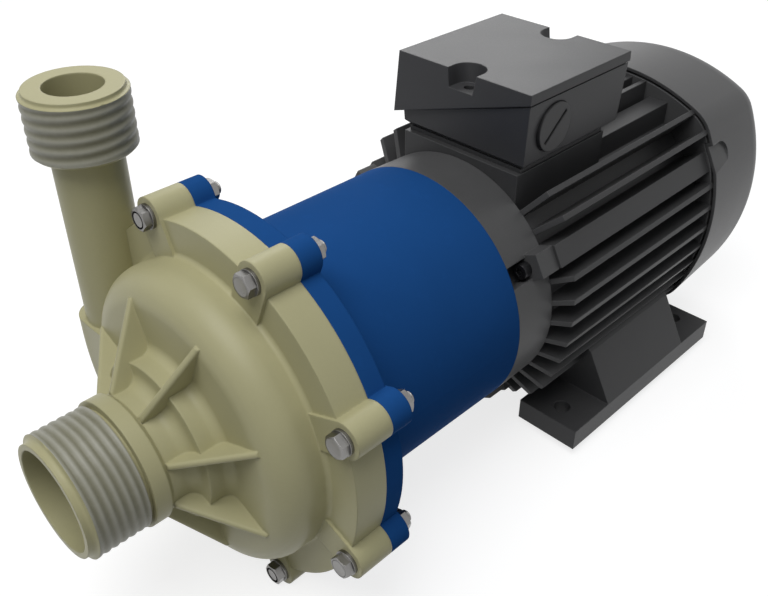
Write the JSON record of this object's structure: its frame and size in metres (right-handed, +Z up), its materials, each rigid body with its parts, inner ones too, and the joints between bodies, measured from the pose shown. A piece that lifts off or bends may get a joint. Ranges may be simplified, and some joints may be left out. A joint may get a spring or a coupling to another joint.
{
  "type": "centrifugal pump",
  "caption": "Horizontal plastic centrifugal pump with front suction port, upright discharge pipe, magnetic coupling in a blue lantern and a finned foot motor with terminal box.",
  "frame": {"origin": "centre of the four foot holes, on the plane that the feet stand on", "axes": "+Y along the shaft from the suction port to the fan, +Z up along the discharge pipe, +X to the right seen from the suction port"},
  "size_m": [0.198, 0.4735, 0.231],
  "materials": {
    "casing_plastic": "satin",
    "pump_plastic": "satin",
    "blue_paint": "satin",
    "motor_alloy": "matte",
    "box_alloy": "matte",
    "cowl_plastic": "matte",
    "bright_steel": "satin",
    "dark_steel": "satin",
    "shaft_steel": "satin",
    "lamination": "matte",
    "magnet": "satin",
    "ceramic_white": "satin",
    "carbon": "matte",
    "rubber_black": "matte",
    "copper_winding": "satin",
    "cage_alloy": "satin",
    "fan_plastic": "matte",
    "plug_plastic": "satin",
    "board_resin": "satin",
    "brass_stud": "satin"
  },
  "bodies": {
    "pump_frame": {"volute_casing": "casing_plastic", "casing_wear_ring": "pump_plastic", "casing_bolts": "bright_steel", "casing_back_screws": "bright_steel", "casing_washers": "bright_steel", "casing_nuts": "bright_steel", "casing_o_ring": "rubber_black", "lantern": "blue_paint", "lantern_screws": "bright_steel", "containment_can": "pump_plastic", "pump_shaft": "ceramic_white", "front_shaft_support": "pump_plastic", "front_thrust_ring": "ceramic_white", "rear_thrust_ring": "ceramic_white", "drive_end_shield": "motor_alloy", "end_shield_screws": "dark_steel", "stator_housing": "motor_alloy", "foot_left": "motor_alloy", "foot_right": "motor_alloy", "foot_screws": "dark_steel", "stator_core": "lamination", "windings": "copper_winding", "bearing_outer_rings": "shaft_steel", "bearing_balls": "shaft_steel", "shaft_seal": "rubber_black", "fan_end_shield": "motor_alloy", "wave_spring": "shaft_steel", "fan_cowl": "cowl_plastic", "cowl_screws": "dark_steel", "box_gasket": "rubber_black", "terminal_box_base": "box_alloy", "lid_gasket": "rubber_black", "terminal_box_lid": "box_alloy", "lid_screws": "dark_steel", "blanking_plug": "plug_plastic", "plug_seal": "rubber_black", "terminal_board": "board_resin", "terminal_studs": "brass_stud"},
    "motor_rotor": {"motor_shaft": "shaft_steel", "rotor_core": "lamination", "rotor_cage": "cage_alloy", "bearing_inner_rings": "shaft_steel", "drive_magnet_hub": "dark_steel", "drive_magnets": "magnet", "hub_set_screws": "dark_steel", "shaft_key": "shaft_steel", "cooling_fan": "fan_plastic", "fan_circlip": "shaft_steel"},
    "impeller_rotor": {"impeller": "pump_plastic", "impeller_shroud": "pump_plastic", "bearing_bush": "carbon", "magnet_jacket": "pump_plastic", "inner_yoke": "lamination", "inner_magnets": "magnet", "magnet_cap": "pump_plastic"}
  },
  "joints": [
    {"name": "motor_spin", "type": "hinge", "parent": "pump_frame", "child": "motor_rotor", "pos_m": [0, 0, 0.09], "axis": [0, 1, 0], "continuous": true},
    {"name": "impeller_spin", "type": "hinge", "parent": "pump_frame", "child": "impeller_rotor", "pos_m": [0, -0.254, 0.09], "axis": [0, 1, 0], "continuous": true}
  ],
  "couplings": [
    {"joint": "impeller_spin", "follows": "motor_spin", "ratio": 1}
  ]
}
